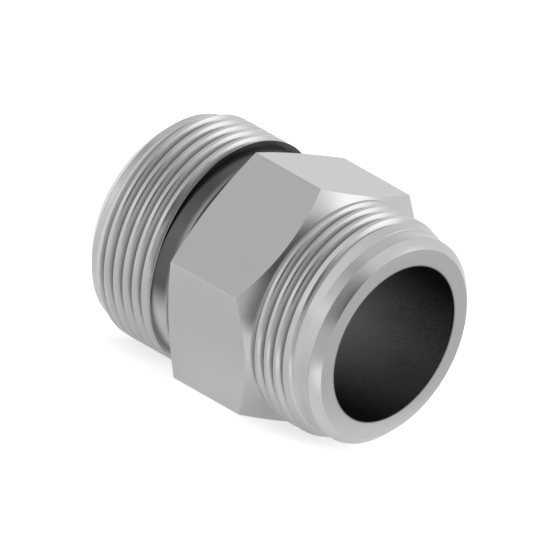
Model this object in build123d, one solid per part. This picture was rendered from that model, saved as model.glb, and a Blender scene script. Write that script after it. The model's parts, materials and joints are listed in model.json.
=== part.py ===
from build123d import *
import os
from math import cos, radians, sin, tan

# A one-piece straight adapter turned from hexagonal bar, with a male thread at each
# end and a plain bore right through. Lengths are in millimetres, angles in degrees.
# X is the bore axis, and +X points out of the shorter, front end. The origin is on
# the axis, midway along the hexagon's flats. Z is square to the flat it lies on.

# Hexagon
across_flats = 39.69
flat_length = 17.42  # along the axis, at the middle of a flat
front_cone_angle = 30.0  # of the turned corner chamfer, from the end plane
rear_cone_angle = 15.0

# Bore
bore_diameter = 27.46

# Threads
crest_spacing = 25.4 / 12
thread_starts = 2  # grooves that run side by side
thread_angle = 60.0  # between the two flanks of a groove
thread_depth = 1.13
root_width = 0.20  # of the flat bottom of a groove

# Front end, from the hexagon outwards
front_thread_diameter = 38.64
front_thread_length = 6.95  # at the full crest diameter
front_lead_in_length = 3.27
front_land_diameter = 36.28
front_land_length = 2.18
front_chamfer = 1.48
front_groove_angle = 131.6  # about the axis from +Y, of a groove level with the flats' ends

# Rear end, from the hexagon outwards
flare_radius = 3.60  # of the curve that rises from the neck to the hexagon
flare_angle = 46.0  # that this curve turns through before it meets the cone
neck_diameter = 37.30
neck_length = 2.50  # of its straight part, from the flare to the thread's wall
rear_thread_diameter = 39.64
rear_thread_length = 10.53  # at the full crest diameter
rear_lead_in_length = 2.09
rear_land_diameter = 37.28
rear_land_length = 0.95
rear_chamfer = 2.18
rear_groove_angle = 12.1  # about the axis from +Y, of a groove at the thread's wall


def cone_advance(radius, angle):
    """How far along the axis a cone leads its edge on the flats, at a smaller radius."""
    return (across_flats / 2 - radius) * tan(radians(angle))


def flare_start():
    """The x at which the neck starts to curve up, so that its curve ends on the rear cone."""
    top_radius = neck_diameter / 2 + flare_radius * (1 - cos(radians(flare_angle)))
    top = -flat_length / 2 - cone_advance(top_radius, rear_cone_angle)
    return top - flare_radius * sin(radians(flare_angle))


def cones_ridge():
    """Point (x, radius) well outside the bar, where the two corner cones would meet."""
    front_slope = tan(radians(front_cone_angle))
    rear_slope = tan(radians(rear_cone_angle))
    rise = flat_length / (front_slope + rear_slope)
    return (flat_length / 2 - rise * front_slope, across_flats / 2 + rise)


def along_the_axis(profile, reach):
    """A profile drawn square to the axis, carried past both ends of the part."""
    return extrude(Plane.YZ * profile, amount=reach, both=True)


def hexagon_and_neck():
    """The bar's middle, turned to two cones, a flare and a neck that ends at the wall.

    The front cone goes on inwards to the bore, so that the front thread dies out on it.
    """
    bore_radius = bore_diameter / 2
    cone_foot = flat_length / 2 + cone_advance(bore_radius, front_cone_angle)
    neck_end = (flare_start(), neck_diameter / 2)
    wall = flare_start() - neck_length
    with BuildPart() as blank:
        with BuildSketch():
            with BuildLine():
                flare = JernArc(neck_end, (1, 0), flare_radius, flare_angle)
                Polyline(flare @ 1, cones_ridge(), (cone_foot, bore_radius), (cone_foot, 0))
                Polyline((cone_foot, 0), (wall, 0), (wall, neck_diameter / 2), neck_end)
            make_face()
        revolve(axis=Axis.X)
    bar = RegularPolygon(across_flats / 2, 6, major_radius=False)
    return blank.part & along_the_axis(bar, 2 * flat_length)


def groove_cutter(length, crest_radius):
    """One groove's space, swept along a right-handed helix about the local Z axis.

    Its section is a flat bottom and two straight flanks, which go on past the crests.
    """
    root_radius = crest_radius - thread_depth
    clear_height = 1.2 * thread_depth
    half_top = root_width / 2 + clear_height * tan(radians(thread_angle / 2))
    section = Polyline(
        (root_radius, -root_width / 2),
        (root_radius + clear_height, -half_top),
        (root_radius + clear_height, half_top),
        (root_radius, root_width / 2),
        close=True,
    )
    path = Helix(thread_starts * crest_spacing, length, root_radius)
    return sweep(make_face(Plane.XZ * section), path=path, is_frenet=True)


def threaded_bar(from_x, to_x, crest_radius, groove_x, groove_angle):
    """A round bar, grooved from one x to another and plain for a little way past both.

    The first of its grooves is at groove_angle where x is groove_x.
    """
    length = to_x - from_x
    start_angle = groove_angle + (from_x - groove_x) * 360 / (thread_starts * crest_spacing)
    cutter = Plane.YZ.offset(from_x).location * groove_cutter(length, crest_radius)
    bar = Plane.YZ.offset((from_x + to_x) / 2).location * Cylinder(crest_radius, length + 2 * crest_spacing)
    for start in range(thread_starts):
        bar -= Rot(start_angle + start * 360 / thread_starts, 0, 0) * cutter
    return bar


def turned_end(side, start, crest_radius, thread_end, lead_in, land_radius, land_length, chamfer):
    """What the lead-in cone, the land and the chamfer leave of a bar, as a revolved solid.

    Distances go outwards from the origin, and side is 1 in front and -1 behind. The
    cone is carried on past the crests by half its length, so it clears the bar there.
    """
    land_start = thread_end + lead_in
    face = land_start + land_length + chamfer
    clear_radius = crest_radius + (crest_radius - land_radius) / 2
    outline = [
        (start, 0),
        (start, clear_radius),
        (thread_end - lead_in / 2, clear_radius),
        (land_start, land_radius),
        (face - chamfer, land_radius),
        (face, land_radius - chamfer),
        (face, 0),
    ]
    profile = make_face(Polyline(*[(side * distance, radius) for distance, radius in outline], close=True))
    return face, revolve(profile, axis=Axis.X)


def front_end():
    """The front face's x and the shorter threaded end, which starts inside the hexagon."""
    start = flat_length / 2
    crest_radius = front_thread_diameter / 2
    thread_end = start + cone_advance(crest_radius, front_cone_angle) + front_thread_length
    face, turned = turned_end(
        1, start, crest_radius, thread_end, front_lead_in_length,
        front_land_diameter / 2, front_land_length, front_chamfer,
    )
    bar = threaded_bar(start - crest_spacing, face, crest_radius, start, front_groove_angle)
    return face, turned & bar


def rear_end():
    """The rear face's x and the longer threaded end, which starts at the neck's wall."""
    wall = flare_start() - neck_length
    crest_radius = rear_thread_diameter / 2
    face, turned = turned_end(
        -1, -wall, crest_radius, rear_thread_length - wall, rear_lead_in_length,
        rear_land_diameter / 2, rear_land_length, rear_chamfer,
    )
    bar = threaded_bar(-face, wall + crest_spacing, crest_radius, wall, rear_groove_angle)
    return -face, turned & bar


def adapter():
    """The hexagon with its neck and both threaded ends, bored through in one piece."""
    front_face, front = front_end()
    rear_face, rear = rear_end()
    overall_length = front_face - rear_face
    print("overall length", round(overall_length, 3), "mm")
    return hexagon_and_neck() + front + rear - along_the_axis(Circle(bore_diameter / 2), overall_length)


os.makedirs("parts", exist_ok=True)
export_step(adapter(), "parts/adapter_body.step")
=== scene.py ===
# %% [markdown]
# # A threaded hexagon adapter in plated steel
#
# The real thing is one piece of metal: a lathe turns both ends of a hexagonal bar,
# cuts a thread on each, and bores it through. It has no other piece, so there is one
# mesh to make here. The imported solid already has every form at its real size, with the
# helical grooves. What it leaves out is how the tools and the plating soften each edge,
# and the finish of the metal. This lesson draws the same surface again with rows along
# every edge, in metres and in the solid's frame, and then adds those two.

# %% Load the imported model
import json
import math
from dataclasses import dataclass

import bmesh
import bpy
import numpy as np
from mathutils import Matrix, Vector


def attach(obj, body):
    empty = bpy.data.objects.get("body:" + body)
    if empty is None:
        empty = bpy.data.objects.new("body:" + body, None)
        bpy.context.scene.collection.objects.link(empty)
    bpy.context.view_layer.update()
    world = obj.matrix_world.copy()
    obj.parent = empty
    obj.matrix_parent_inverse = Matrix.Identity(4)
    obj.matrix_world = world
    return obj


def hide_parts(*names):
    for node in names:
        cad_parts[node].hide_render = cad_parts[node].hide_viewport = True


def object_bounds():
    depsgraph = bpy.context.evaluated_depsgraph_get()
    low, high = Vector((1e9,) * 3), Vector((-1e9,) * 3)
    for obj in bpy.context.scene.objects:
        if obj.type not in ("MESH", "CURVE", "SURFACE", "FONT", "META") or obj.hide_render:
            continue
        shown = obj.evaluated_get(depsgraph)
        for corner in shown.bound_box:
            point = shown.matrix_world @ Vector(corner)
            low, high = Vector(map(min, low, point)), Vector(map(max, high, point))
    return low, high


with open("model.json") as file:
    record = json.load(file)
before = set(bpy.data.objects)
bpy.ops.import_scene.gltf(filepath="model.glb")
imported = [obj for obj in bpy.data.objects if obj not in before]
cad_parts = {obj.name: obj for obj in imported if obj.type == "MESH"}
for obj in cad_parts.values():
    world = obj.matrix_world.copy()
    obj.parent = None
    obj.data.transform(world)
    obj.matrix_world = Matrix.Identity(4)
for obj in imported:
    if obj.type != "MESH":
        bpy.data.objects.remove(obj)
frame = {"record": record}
cad_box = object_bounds()
print("CAD box in metres:", [[round(v, 5) for v in corner] for corner in cad_box])

# %% [markdown]
# ## Sizes
#
# The frame's mounts give the bore, each thread with its place, each land beyond it and
# how far the hexagon's flats are from the axis. The rest are the turned details that
# no mount states, and they repeat the solid's own values. X is the bore axis.

# %% Sizes from the frame, and the turned details
MM = 0.001
mounts = {mount["name"]: mount for mount in frame["record"]["mounts"]}


def mount_radius(name):
    """The stated radius of a round mount, in metres."""
    return mounts[name]["dims"]["r_mm"] * MM


def mount_length(name):
    """The stated length of a round mount, in metres."""
    return mounts[name]["dims"]["length_mm"] * MM


def mount_ends(name):
    """How far from the origin a round mount starts and ends along the axis."""
    middle = abs(mounts[name]["pos_m"][0])
    half = mount_length(name) / 2
    return middle - half, middle + half


rear_face, front_face = cad_box[0].x, cad_box[1].x
bore_radius = mount_radius("bore")
flat_distance = -mounts["rest_flat"]["pos_m"][2]

flat_edge = 8.71 * MM            # where the middle of a flat ends, each way from the origin
front_cone_slope = math.tan(math.radians(30))
rear_cone_slope = math.tan(math.radians(15))

neck_radius = 18.65 * MM
neck_length = 2.50 * MM
flare_radius = 3.60 * MM
flare_angle = math.radians(46)

crest_spacing = 25.4 / 12 * MM   # from one thread crest to the next, along the axis
lead = 2 * crest_spacing         # how far a groove advances in a turn: there are two side by side
flank_slope = 1 / math.tan(math.radians(30))   # rise of a groove's flank over its run
groove_depth = 1.13 * MM
half_root = 0.10 * MM            # half the width of a groove's flat bottom
front_groove_angle = 131.6       # degrees about the axis from +Y, of a groove at flat_edge
rear_groove_angle = 12.1         # and of one at the rear thread's wall

front_lead_in = 3.27 * MM        # length of the cone from the crests down to the land
rear_lead_in = 2.09 * MM
front_chamfer = 1.48 * MM
rear_chamfer = 2.18 * MM

edge_break = 0.05 * MM           # how far back the softening of a sharp edge begins
corner_round = 0.15 * MM         # radius along the hexagon's six long edges
columns_per_flat = 80            # of the mesh, round each sixth of the part
print("across flats", round(2 * flat_distance / MM, 2), "mm, bore", round(2 * bore_radius / MM, 2), "mm")

# %% [markdown]
# ## The two threaded ends
#
# Both ends have the same make-up: crests on a cylinder, a lead-in cone down to a plain
# land, and a chamfer at the face. Describing an end by distances measured outwards from
# the hexagon lets one set of functions draw both, the rear end being a mirrored front
# end whose grooves turn the same way.

# %% Describe a threaded end
@dataclass
class ThreadedEnd:
    """One end: radii, then distances outwards from the origin, all in metres."""

    side: int           # +1 in front of the hexagon, -1 behind it
    crest: float
    land: float
    start: float
    crest_end: float
    land_start: float
    land_end: float
    groove_x: float
    groove_angle: float   # about the axis from +Y, of a groove where x is groove_x

    @property
    def root(self):
        return self.crest - groove_depth


def threaded_end(side, name, lead_in, groove_x, groove_angle):
    """A threaded end, from the mounts of its thread and its land."""
    start, crest_end = mount_ends(name + "_thread")
    land_start = crest_end + lead_in
    return ThreadedEnd(
        side=side,
        crest=mount_radius(name + "_thread"),
        land=mount_radius(name + "_land"),
        start=start,
        crest_end=crest_end,
        land_start=land_start,
        land_end=land_start + mount_length(name + "_land"),
        groove_x=groove_x,
        groove_angle=math.radians(groove_angle),
    )


wall_x = -mount_ends("rear_thread")[0]
front_end = threaded_end(1, "front", front_lead_in, flat_edge, front_groove_angle)
rear_end = threaded_end(-1, "rear", rear_lead_in, wall_x, rear_groove_angle)
front_face_radius = front_end.land - front_chamfer
rear_face_radius = rear_end.land - rear_chamfer
for end in (front_end, rear_end):
    print("a land ends at x", round(end.side * end.land_end / MM, 2), "mm")

# %% [markdown]
# ## Where the surface is sampled
#
# The skin is a function of two parameters: the angle round the axis and a row number
# along the outline. A column of rows at one angle is the true section there. Columns
# are evenly spaced, with a few more close to each corner of the hexagon, where the bar
# has a tiny rounding. The first and the last column are the same place, a turn apart.

# %% Angles of the columns
corner_centre = (flat_distance - corner_round) / math.cos(math.radians(30))
corner_reach = math.atan2(
    corner_round * math.sin(math.radians(30)),
    corner_centre + corner_round * math.cos(math.radians(30)),
)
even = np.linspace(0, 2 * np.pi, 6 * columns_per_flat + 1)
corners = np.radians(np.arange(0, 361, 60))
shares_of_reach = np.array([-1, -2 / 3, -1 / 3, 1 / 3, 2 / 3, 1])
near_corners = (corners[:, None] + corner_reach * shares_of_reach).ravel()
near_corners = near_corners[(near_corners > 0) & (near_corners < 2 * np.pi)]
angles = np.sort(np.concatenate([even, near_corners]))
print(len(angles), "columns")

# %% [markdown]
# ## The thread
#
# The solid has the grooves too, cut by sweeping their section along a helix. Here they
# come from a height function, which puts vertices exactly where the light needs them:
# the radius is the smaller of the plain outline and the nearest groove's wall. Rows
# have to lie on the edges, so each groove's two edges are worked out in closed form
# where a flank meets the outline. Rows of a groove that isn't there fall together, and
# they are merged later.

# %% Radius of a threaded end
def groove_bottoms(end, first, last):
    """Distance outwards of grooves first to last, for every column.

    A groove's bottom advances along the axis by the lead in each turn, and the next
    groove is one crest spacing further out.
    """
    along = end.groove_x + lead * (angles - end.groove_angle) / (2 * np.pi)
    return end.side * along[:, None] + crest_spacing * np.arange(first, last + 1)


def outline_radius(end, distance):
    """The plain outline: the crest cylinder, then a straight cone, then the land."""
    slope = (end.crest - end.land) / (end.land_start - end.crest_end)
    return np.clip(end.crest - slope * (distance - end.crest_end), end.land, end.crest)


def threaded_radius(end, distance):
    """The outline, or the nearest groove's wall where that is lower.

    The wall is flat at the bottom, and past that it rises in proportion to the distance.
    """
    bottom = groove_bottoms(end, 0, 0).reshape((-1,) + (1,) * (distance.ndim - 1))
    offset = (distance - bottom + crest_spacing / 2) % crest_spacing - crest_spacing / 2
    wall = end.root + flank_slope * np.clip(abs(offset) - half_root, 0, None)
    return np.minimum(outline_radius(end, distance), wall)


def groove_edges(end, bottom):
    """Distances at which a groove's inner and outer flanks meet the outline.

    Each flank is a straight line, and so is each stretch of the outline. The outline is
    the higher of the land and of the lower of crest and cone, so the crossings combine
    in the same way. A groove whose bottom is above the outline has no width.
    """
    slope = (end.crest - end.land) / (end.land_start - end.crest_end)
    rise = end.crest - end.root
    run_to_crest = rise / flank_slope
    run_to_land = (end.land - end.root) / flank_slope
    near, far = bottom - half_root, bottom + half_root
    inner_cone = (flank_slope * near - rise - slope * end.crest_end) / (flank_slope - slope)
    outer_cone = (flank_slope * far + rise + slope * end.crest_end) / (flank_slope + slope)
    inner = np.minimum(near - run_to_land, np.maximum(near - run_to_crest, inner_cone))
    outer = np.maximum(far + run_to_land, np.minimum(far + run_to_crest, outer_cone))
    return np.minimum(inner, near), np.maximum(outer, far)


# %% [markdown]
# A row on each side of an edge and one pulled in between them soften it, as the cutting
# tool and the plating do. The softened point is a quarter of each neighbour and half
# of the sharp corner, which is the middle of the curve that those three points guide.

# %% Rows of a threaded end
groove_edge_rows = (1, 8)        # which of a groove's twelve rows are its two sharp edges


def soften_middle(block, middle):
    """Pulls one row of a block of points towards the rows before and after it."""
    soft = (block[..., middle - 1, :] + 2 * block[..., middle, :] + block[..., middle + 1, :]) / 4
    block[..., middle, :] = soft


def threaded_rows(end, start):
    """Points (distance outwards, radius) of an end, from its start to the end of its land.

    start is one distance for each column. Every groove has rows for both its edges and
    both sides of its bottom, and the stretch after it has two for the lead-in cone.
    """
    nearest = groove_bottoms(end, 0, 0)
    first = math.floor((end.start - nearest.max()) / crest_spacing) - 1
    last = math.ceil((end.land_end - nearest.min()) / crest_spacing) + 1
    bottom = groove_bottoms(end, first, last)
    inner, outer = groove_edges(end, bottom)
    near, far = bottom - half_root, bottom + half_root
    back = np.minimum(edge_break, (near - inner) / 3)
    ahead = np.minimum(edge_break, (outer - far) / 3)
    next_inner = np.append(inner[:, 1:] - edge_break, np.full((len(angles), 1), np.inf), axis=1)
    distance = np.stack(
        [
            inner - back, inner, inner + back,
            near - back, near + half_root / 2, far - half_root / 2, far + ahead,
            outer - ahead, outer, outer + ahead,
            np.clip(end.crest_end, outer + ahead, next_inner),
            np.clip(end.land_start, outer + ahead, next_inner),
        ],
        axis=-1,
    )
    distance = np.clip(distance, start[:, None, None], end.land_end)
    block = np.stack([distance, threaded_radius(end, distance)], axis=-1)
    for middle in groove_edge_rows:
        soften_middle(block, middle)
    return block.reshape(len(angles), -1, 2)


def at(end, distance):
    """The point of every column at one distance outwards, on the threaded surface."""
    distance = np.broadcast_to(distance, angles.shape)
    return np.stack([distance, threaded_radius(end, distance)], axis=-1)


# %% [markdown]
# ## The hexagon and the neck
#
# Seen along the axis, the bar's radius is the flat's distance over the cosine of the
# angle from the middle of the flat, apart from the small rounding at each corner. The
# two cones cut the flats back, and because the radius grows towards a corner while a
# cone moves in evenly, each flat ends in the curve that a spanner flat shows. Placing
# the row on the cone at each column's own radius draws that curve exactly.

# %% Radius of the bar, and the rows on both sides of it
def bar_radius():
    """Radius of the hexagonal bar at every column.

    From a flat, it is the flat's distance over the cosine of the angle to its middle.
    Near a corner, it is the far crossing with a small circle that touches both flats.
    """
    off_corner = (angles + np.radians(30)) % np.radians(60) - np.radians(30)
    on_flat = flat_distance / np.cos(np.radians(30) - abs(off_corner))
    across = np.clip(corner_round**2 - (corner_centre * np.sin(off_corner)) ** 2, 0, None)
    on_corner = corner_centre * np.cos(off_corner) + np.sqrt(across)
    return np.where(abs(off_corner) <= corner_reach * 1.0001, on_corner, on_flat)


def shoulder():
    """Distance at which the front cone of the hexagon meets the threaded surface.

    The cone meets the crests at one distance, and a groove's flat bottom at another.
    Where the outer flank starts short of that, cone and flank lean towards each other
    by as much, and they meet midway between the two.
    """
    at_crest = flat_edge + (flat_distance - front_end.crest) * front_cone_slope
    at_root = flat_edge + (flat_distance - front_end.root) * front_cone_slope
    bottom = groove_bottoms(front_end, -5, 5)
    near, far = bottom - half_root, bottom + half_root
    meeting = np.where(near < at_root, at_root, -np.inf)
    meeting = np.where(far < at_root, (far + at_root) / 2, meeting)
    return np.maximum(at_crest, meeting.max(axis=1))


def flare():
    """Points of the curve from the neck up to the hexagon: part of a circle."""
    turn = np.linspace(0, flare_angle, 11)
    top_radius = neck_radius + flare_radius * (1 - math.cos(flare_angle))
    top = -flat_edge - (flat_distance - top_radius) * rear_cone_slope
    x = top - flare_radius * (math.sin(flare_angle) - np.sin(turn))
    radius = neck_radius + flare_radius * (1 - np.cos(turn))
    return np.stack([x, radius], axis=-1)


# %% [markdown]
# ## One closed outline
#
# The rows are put in order from the rear mouth of the bore, out over the skin to the
# front mouth, and the last row joins the first down the bore. That makes one closed
# surface with no cap to add. Distances outwards become x by the end's side.

# %% Put the outline together
def ring(x, radius):
    """The same point (x, radius) for every column."""
    point = np.empty((len(angles), 2))
    point[:, 0] = x
    point[:, 1] = radius
    return point


def softened(before, corner, after):
    """Three rows in place of a sharp corner, for every column."""
    def step(neighbour):
        run = neighbour - corner
        length = np.linalg.norm(run, axis=-1, keepdims=True)
        return corner + run * np.minimum(edge_break / length, 0.4)
    one, two = step(before), step(after)
    return [one, (one + 2 * corner + two) / 4, two]


def outward_to_x(end, points):
    """Points given by distance outwards, as (x, radius), in order of growing x."""
    turned = points * np.array([end.side, 1])
    return turned[:, :: end.side] if turned.ndim == 3 else turned


bar = bar_radius()
rear_edge = np.stack([-flat_edge + (bar - flat_distance) * rear_cone_slope, bar], axis=-1)
front_edge = np.stack([flat_edge - (bar - flat_distance) * front_cone_slope, bar], axis=-1)
flare_points = flare()
flare_rows = [ring(x, radius) for x, radius in flare_points]
wall_foot = ring(-rear_end.start, neck_radius)
wall_top = outward_to_x(rear_end, at(rear_end, rear_end.start))
past_wall = outward_to_x(rear_end, at(rear_end, rear_end.start + edge_break))
rear_thread_start = np.full(len(angles), rear_end.start + edge_break)
rear_thread = outward_to_x(rear_end, threaded_rows(rear_end, rear_thread_start))
rear_land_edge = outward_to_x(rear_end, at(rear_end, rear_end.land_end))
foot = shoulder()
front_thread = threaded_rows(front_end, foot)
front_land_edge = at(front_end, front_end.land_end)
rear_mouth = ring(rear_face, bore_radius)
front_mouth = ring(front_face, bore_radius)
rear_rim = ring(rear_face, rear_face_radius)
front_rim = ring(front_face, front_face_radius)

rear_rows = [
    *softened(front_mouth, rear_mouth, rear_rim),
    *softened(rear_mouth, rear_rim, rear_land_edge),
    *softened(rear_rim, rear_land_edge, ring(-rear_end.land_start, rear_end.land)),
    *np.moveaxis(rear_thread, 1, 0),
    *softened(past_wall, wall_top, wall_foot),
    wall_foot,
    *flare_rows,
]
flat_rows = [
    *softened(flare_rows[-1], rear_edge, front_edge),
    *softened(rear_edge, front_edge, at(front_end, foot)),
]
front_rows = [
    at(front_end, foot),
    *np.moveaxis(front_thread, 1, 0),
    *softened(ring(front_end.land_start, front_end.land), front_land_edge, front_rim),
    *softened(front_land_edge, front_rim, front_mouth),
    *softened(front_rim, front_mouth, rear_mouth),
]
outline = np.stack(rear_rows + flat_rows + front_rows, axis=1)
first_flat_row = len(rear_rows) + 2
print("outline of", outline.shape[1], "rows")

# %% [markdown]
# ## From the grid to a mesh
#
# Each cell of the grid is a face with four corners, wound so that it points outwards:
# first round the axis, then along it. A turn later the groove that was number five is
# number seven, so the last column can't simply be tied to the first row by row. Merging
# points that coincide closes the seam, and takes away the rows that fell together.

# %% Build the mesh
def grid_to_mesh(name, points, row_material):
    """A mesh from a grid of (x, radius) points, closed along the rows by wrapping round."""
    columns, rows = points.shape[:2]
    radius = points[..., 1]
    x = points[..., 0]
    y = radius * np.cos(angles)[:, None]
    z = radius * np.sin(angles)[:, None]
    index = np.arange(columns * rows).reshape(columns, rows)
    beyond = np.roll(index, -1, axis=1)
    quads = np.stack([index[:-1], index[1:], beyond[1:], beyond[:-1]], axis=-1).reshape(-1, 4)
    mesh = bpy.data.meshes.new(name)
    mesh.vertices.add(columns * rows)
    mesh.vertices.foreach_set("co", np.stack([x, y, z], axis=-1).astype(np.float32).ravel())
    mesh.loops.add(quads.size)
    mesh.loops.foreach_set("vertex_index", quads.astype(np.int32).ravel())
    mesh.polygons.add(len(quads))
    mesh.polygons.foreach_set("loop_start", np.arange(0, quads.size, 4, dtype=np.int32))
    mesh.polygons.foreach_set("material_index", np.tile(row_material, columns - 1).astype(np.int32))
    mesh.update(calc_edges=True)
    return mesh


def weld(mesh, reach):
    """Merges points closer than reach, and reports what isn't closed afterwards."""
    work = bmesh.new()
    work.from_mesh(mesh)
    bmesh.ops.remove_doubles(work, verts=work.verts, dist=reach)
    open_edges = sum(1 for edge in work.edges if len(edge.link_faces) != 2)
    triangles = sum(len(face.verts) - 2 for face in work.faces)
    volume = work.calc_volume(signed=True)
    work.to_mesh(mesh)
    work.free()
    print(mesh.name, triangles, "triangles,", open_edges, "open edges,", round(volume * 1e6, 3), "ml")


same_place = 2e-7                # metres: points closer than this are one
sharp_angle = math.radians(12)   # between two faces, beyond which their edge stays crisp
row_material = np.zeros(outline.shape[1], int)
row_material[first_flat_row] = 1
body_mesh = grid_to_mesh("adapter_body_dressed", outline, row_material)
weld(body_mesh, same_place)
body_mesh.shade_smooth()
body_mesh.set_sharp_from_angle(angle=sharp_angle)
adapter = bpy.data.objects.new("adapter", body_mesh)
bpy.context.scene.collection.objects.link(adapter)

# %% [markdown]
# ## Shader arithmetic
#
# A node tree reads badly as a list of links. A small class that stands for a node's
# output, with the usual operators, lets the finish be written as a formula.

# %% A socket that can be added and multiplied
class Signal:
    """One value that varies over the surface, as the output socket of a node."""

    def __init__(self, finish, socket):
        self.finish = finish
        self.socket = socket

    def _math(self, operation, first, second):
        sockets = {0: first, 1: second}
        return self.finish.node("ShaderNodeMath", {"operation": operation}, sockets, "Value")

    def __add__(self, other):
        return self._math("ADD", self, other)

    def __sub__(self, other):
        return self._math("SUBTRACT", self, other)

    def __mul__(self, other):
        return self._math("MULTIPLY", self, other)

    def __pow__(self, other):
        return self._math("POWER", self, other)

    def __rsub__(self, other):
        return self._math("SUBTRACT", other, self)

    __radd__ = __add__
    __rmul__ = __mul__


class Finish:
    """The node tree of a material, or of the world, added to one call at a time."""

    def __init__(self, owner):
        owner.use_nodes = True
        self.tree = owner.node_tree
        self.tree.nodes.clear()

    def add(self, kind, settings, sockets):
        """Adds a node, sets it up, and fills its sockets with values or signals."""
        node = self.tree.nodes.new(kind)
        for name, value in settings.items():
            setattr(node, name, value)
        for name, value in sockets.items():
            if isinstance(value, Signal):
                self.tree.links.new(value.socket, node.inputs[name])
            else:
                node.inputs[name].default_value = value
        return node

    def node(self, kind, settings, sockets, output):
        """Adds a node and gives one of its outputs as a signal."""
        return Signal(self, self.add(kind, settings, sockets).outputs[output])

    def outputs(self, kind, sockets, names):
        """Adds a node and gives several of its outputs as signals."""
        node = self.add(kind, {}, sockets)
        return [Signal(self, node.outputs[name]) for name in names]

    def rise(self, value, start, end):
        """Goes smoothly from 0 to 1 while a value goes from start to end."""
        sockets = {"Value": value, "From Min": start, "From Max": end}
        return self.node("ShaderNodeMapRange", {"interpolation_type": "SMOOTHSTEP"}, sockets, "Result")

    def noise(self, place, scale, detail):
        """A soft random pattern of the place, from about 0.2 to 0.8."""
        sockets = {"Vector": place, "Scale": scale, "Detail": detail}
        return self.node("ShaderNodeTexNoise", {}, sockets, "Fac")

    def grey(self, value):
        """A signal turned into a neutral colour."""
        sockets = {"Red": value, "Green": value, "Blue": value}
        return self.node("ShaderNodeCombineColor", {}, sockets, "Color")


# %% [markdown]
# ## Where shade is painted into the colour
#
# The colour is darkened as painted shade in the hollows, where less light reaches: down
# the bore, in the neck except underneath, at the bottom of the grooves, and low on the
# hexagon's front cone, beside the thread. Each of these is a mask that is 1 in the
# shaded place and fades out.

# %% Tone of the turned surfaces, with painted shade
steel_grey = 0.62
# Painted shade: darker greys down the bore and in the neck.
bore_shade_grey = 0.31
neck_shade_grey = 0.12
groove_shade_loss = 0.4                # share of the tone taken away as painted shade at the bottom of a groove
cone_shade_loss = 0.6                  # and at the foot of the front cone, also painted shade


def groove_shade_mask(finish, x, radius, end):
    """Painted shade at the bottom of an end's full-height grooves: 1 there, 0 on its crests and
    elsewhere.
    """
    outwards = end.side * x
    along_thread = finish.rise(outwards, end.start - 0.2 * MM, end.start)
    past_thread = finish.rise(outwards, end.crest_end - 0.5 * MM, end.crest_end + 1.2 * MM)
    below_crest = 1 - finish.rise(radius, end.root, end.root + 0.7 * groove_depth)
    return below_crest * along_thread * (1 - past_thread)


def neck_shade_mask(finish, x, z):
    """Painted shade on the neck: 1 from its wall to where the flare ends, and 0 on its underside, which
    is left bright.
    """
    past_wall = finish.rise(x, wall_x - 0.06 * MM, wall_x - 0.01 * MM)
    up_flare = finish.rise(x, wall_x + neck_length, -flat_edge)
    return past_wall * (1 - up_flare) * finish.rise(z, -11 * MM, -5 * MM)


def cone_shade_mask(finish, x, z):
    """Painted shade beside the thread: rises to 1 down the hexagon's front cone, at mid height on the
    part.
    """
    down_cone = finish.rise(x, flat_edge - 1.5 * MM, front_end.start)
    past_cone = finish.rise(x, front_end.start, front_end.start + 0.3 * MM)
    above, below = finish.rise(z, 12 * MM, 18 * MM), finish.rise(z, -8 * MM, -2 * MM)
    return down_cone * (1 - past_cone) * below * (1 - above)


def shaded_tone(finish, tone, x, z, radius):
    """The tone with painted shade: a darker grey of its own in bore and neck, a share taken away
    elsewhere.
    """
    outside = finish.rise(radius, bore_radius + 0.1 * MM, bore_radius + 0.3 * MM)
    grooved = groove_shade_mask(finish, x, radius, front_end) + groove_shade_mask(finish, x, radius, rear_end)
    kept = (1 - groove_shade_loss * grooved) * (1 - cone_shade_loss * cone_shade_mask(finish, x, z))
    tone = tone - (steel_grey - bore_shade_grey) * (1 - outside)
    tone = tone - (steel_grey - neck_shade_grey) * neck_shade_mask(finish, x, z) * outside
    return tone * (1 - (1 - kept) * outside)


# %% [markdown]
# ## The steel
#
# Plated steel is a metal of one pale neutral grey. What tells it from a flat colour is
# how it was cut: the lathe leaves rings that go round the axis, the drawn bar leaves
# faint lines along the flats, and the plating varies a little in gloss. All of these
# read Object coordinates, so they stay on the metal from any side.

# %% Turned and drawn finishes
steel_roughness = 0.24
marks_height = 0.01 * MM
marks_strength = 0.25
ring_scale = 9000                # of a pattern per metre
line_scale = 5000
line_scale_along = 90
cloud_scale = 220


def steel(name, marks_from, tone_from):
    """Plated steel with fine marks where marks_from puts them, and the tone of tone_from."""
    material = bpy.data.materials.new(name)
    finish = Finish(material)
    place = finish.node("ShaderNodeTexCoord", {}, {}, "Object")
    x, y, z = finish.outputs("ShaderNodeSeparateXYZ", {"Vector": place}, "XYZ")
    radius = (y * y + z * z) ** 0.5
    marks_place = finish.node("ShaderNodeCombineXYZ", {}, marks_from(x, y, z, radius), "Vector")
    marks = finish.noise(marks_place, 1, 3)
    clouds = finish.noise(place, cloud_scale, 4)
    tone = steel_grey + 0.03 * (clouds - 0.5) + 0.03 * (marks - 0.5)
    gloss = steel_roughness + 0.08 * (clouds - 0.5) + 0.06 * (marks - 0.5)
    bumps = {"Strength": marks_strength, "Distance": marks_height, "Height": marks}
    sockets = {
        "Base Color": finish.grey(tone_from(finish, tone, x, z, radius)),
        "Roughness": gloss,
        "Metallic": 1.0,
        "Normal": finish.node("ShaderNodeBump", {}, bumps, "Normal"),
    }
    shader = finish.node("ShaderNodeBsdfPrincipled", {}, sockets, "BSDF")
    finish.add("ShaderNodeOutputMaterial", {}, {"Surface": shader})
    return material


def rings(x, y, z, radius):
    """The pattern changes along the axis and outwards, but never round it."""
    return {"X": x * ring_scale, "Y": radius * ring_scale}


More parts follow.
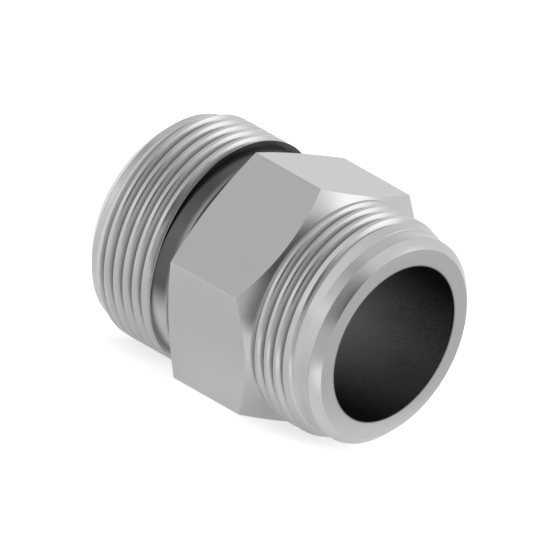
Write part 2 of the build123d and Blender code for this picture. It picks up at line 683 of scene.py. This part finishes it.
def lines(x, y, z, radius):
    """The pattern changes fast across the bar and slowly along it."""
    return {"X": x * line_scale_along, "Y": y * line_scale, "Z": z * line_scale}


def unshaded_tone(finish, tone, x, z, radius):
    """The flats keep their tone, with no painted shade."""
    return tone


adapter.data.materials.append(steel("turned_steel", rings, shaded_tone))
adapter.data.materials.append(steel("drawn_steel", lines, unshaded_tone))
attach(adapter, "root")
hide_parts("adapter_body")
print("finishes", [material.name for material in adapter.data.materials])

# %% [markdown]
# ## Floor and light
#
# The adapter lies on one flat on a plain pale floor. Polished metal is drawn by what it
# mirrors, so the sky is a small studio: even light, with a key panel that makes the
# highlights, a faint window, and four dark areas that give the shapes their contrast.
# Each is a direction and two angles, inside which it is full and outside which it is gone.

# %% Sky
white = (1, 1, 1, 1)
world = bpy.data.worlds.new("studio")
bpy.context.scene.world = world
sky = Finish(world)
outlook = sky.node("ShaderNodeTexCoord", {}, {}, "Generated")


def panel(direction, full_within, gone_beyond):
    """1 inside the smaller angle from a direction, 0 outside the larger one, in degrees.

    The cosine of a ray's angle from the direction is the dot product of their unit vectors.
    """
    sockets = {0: outlook, 1: Vector(direction).normalized()}
    cosine = sky.node("ShaderNodeVectorMath", {"operation": "DOT_PRODUCT"}, sockets, "Value")
    return sky.rise(cosine, math.cos(math.radians(gone_beyond)), math.cos(math.radians(full_within)))


key_panel = panel((0.64, 0.61, 0.47), 5, 18)
window = panel((-0.50, -0.86, 0.00), 20, 60)
dark_card = panel((0.82, -0.48, 0.28), 12, 38)
dark_front = panel((0.98, -0.03, 0.12), 8, 30)
dim_ceiling = panel((-0.58, 0.10, 0.80), 10, 45)
dim_corner = panel((-0.58, -0.55, 0.60), 6, 30)
brightness = 0.86 + 0.8 * key_panel + 0.15 * window
brightness = brightness - 0.55 * dark_card - 0.34 * dark_front
brightness = brightness - 0.16 * dim_ceiling - 0.31 * dim_corner

# %% [markdown]
# The part sees this studio, and the camera sees plain white behind it.

# %% World
(sky_seen,) = sky.outputs("ShaderNodeLightPath", {}, ["Is Camera Ray"])
studio_light, backdrop = (
    sky.node("ShaderNodeBackground", {}, {"Color": white, "Strength": strength}, "Background")
    for strength in (brightness, 1.0)
)
sky_mix = sky.node("ShaderNodeMixShader", {}, {0: sky_seen, 1: studio_light, 2: backdrop}, "Shader")
sky.add("ShaderNodeOutputWorld", {}, {"Surface": sky_mix})

# %% [markdown]
# A camera ray sees the floor lifted to white, less the soft shadow that the part leaves
# on it. A ray that has mirrored off the metal sees it lifted too: a little more under
# the part, not at all far in front, and with one glint that lights the front cone.

# %% Floor
floor_half = 1.5                 # metres
floor_level = -flat_distance
floor_mesh = bpy.data.meshes.new("floor")
corner_signs = ((-1, -1), (1, -1), (1, 1), (-1, 1))
floor_mesh.from_pydata(
    [(i * floor_half, j * floor_half, floor_level) for i, j in corner_signs], [], [(0, 1, 2, 3)]
)
floor = bpy.data.objects.new("floor", floor_mesh)
bpy.context.scene.collection.objects.link(floor)

glint_centre = Vector((40 * MM, -21 * MM, floor_level))
pale_floor = bpy.data.materials.new("pale_floor")
pale = Finish(pale_floor)
ray_kinds = ["Is Camera Ray", "Is Glossy Ray", "Is Transmission Ray"]
seen, mirrored, through = pale.outputs("ShaderNodeLightPath", {}, ray_kinds)
floor_place = pale.node("ShaderNodeTexCoord", {}, {}, "Object")
floor_x, floor_y = pale.outputs("ShaderNodeSeparateXYZ", {"Vector": floor_place}, "XY")
in_front = pale.rise(floor_x, front_face, front_face + 30 * MM)
under = pale.rise(floor_y, -25 * MM, -14 * MM)
off_glint = pale.node(
    "ShaderNodeVectorMath", {"operation": "DISTANCE"}, {0: floor_place, 1: glint_centre}, "Value"
)
glint = 1 - pale.rise(off_glint, 3 * MM, 13 * MM)
lift = 0.65 * seen + (mirrored + through) * ((0.24 + 0.14 * under) * (1 - in_front) + 0.5 * glint)
matt = pale.node("ShaderNodeBsdfDiffuse", {}, {"Color": (0.8, 0.8, 0.8, 1)}, "BSDF")
lifted = pale.node("ShaderNodeEmission", {}, {"Strength": lift}, "Emission")
floor_shader = pale.node("ShaderNodeAddShader", {}, {0: matt, 1: lifted}, "Shader")
pale.add("ShaderNodeOutputMaterial", {}, {"Surface": floor_shader})
floor_mesh.materials.append(pale_floor)

# %% [markdown]
# ## Camera
#
# The picture is a parallel view, so its scale is the same everywhere. The camera looks
# down at the object from its front right and is rolled, which is why the bore axis runs
# down to the right. The front mouth of the bore fixes the framing.

# %% Camera
azimuth, elevation, roll = np.radians([36.74, 12.79, 20.08])
picture_side = 560                # pixels
pixel = 0.16121 * MM              # of the object, for each pixel of the picture
mouth_right_px = 394.03 - picture_side / 2   # of the front mouth's centre, from the picture's
mouth_down_px = 344.19 - picture_side / 2
camera_distance = 0.5             # metres, which doesn't matter in a parallel view

towards = Vector((
    math.sin(azimuth) * math.cos(elevation),
    -math.cos(azimuth) * math.cos(elevation),
    math.sin(elevation),
))
level_right = Vector((math.cos(azimuth), math.sin(azimuth), 0))
level_up = towards.cross(level_right)
right = level_right * math.cos(roll) + level_up * math.sin(roll)
up = towards.cross(right)
middle = Vector((front_face, 0, 0)) - right * mouth_right_px * pixel + up * mouth_down_px * pixel

camera_data = bpy.data.cameras.new("camera")
camera_data.type = "ORTHO"
camera_data.ortho_scale = picture_side * pixel
camera = bpy.data.objects.new("camera", camera_data)
turn = Matrix((right, up, towards)).transposed().to_4x4()
camera.matrix_world = Matrix.Translation(middle + towards * camera_distance) @ turn
bpy.context.scene.collection.objects.link(camera)
bpy.context.scene.camera = camera
bpy.context.scene.view_settings.view_transform = "Standard"
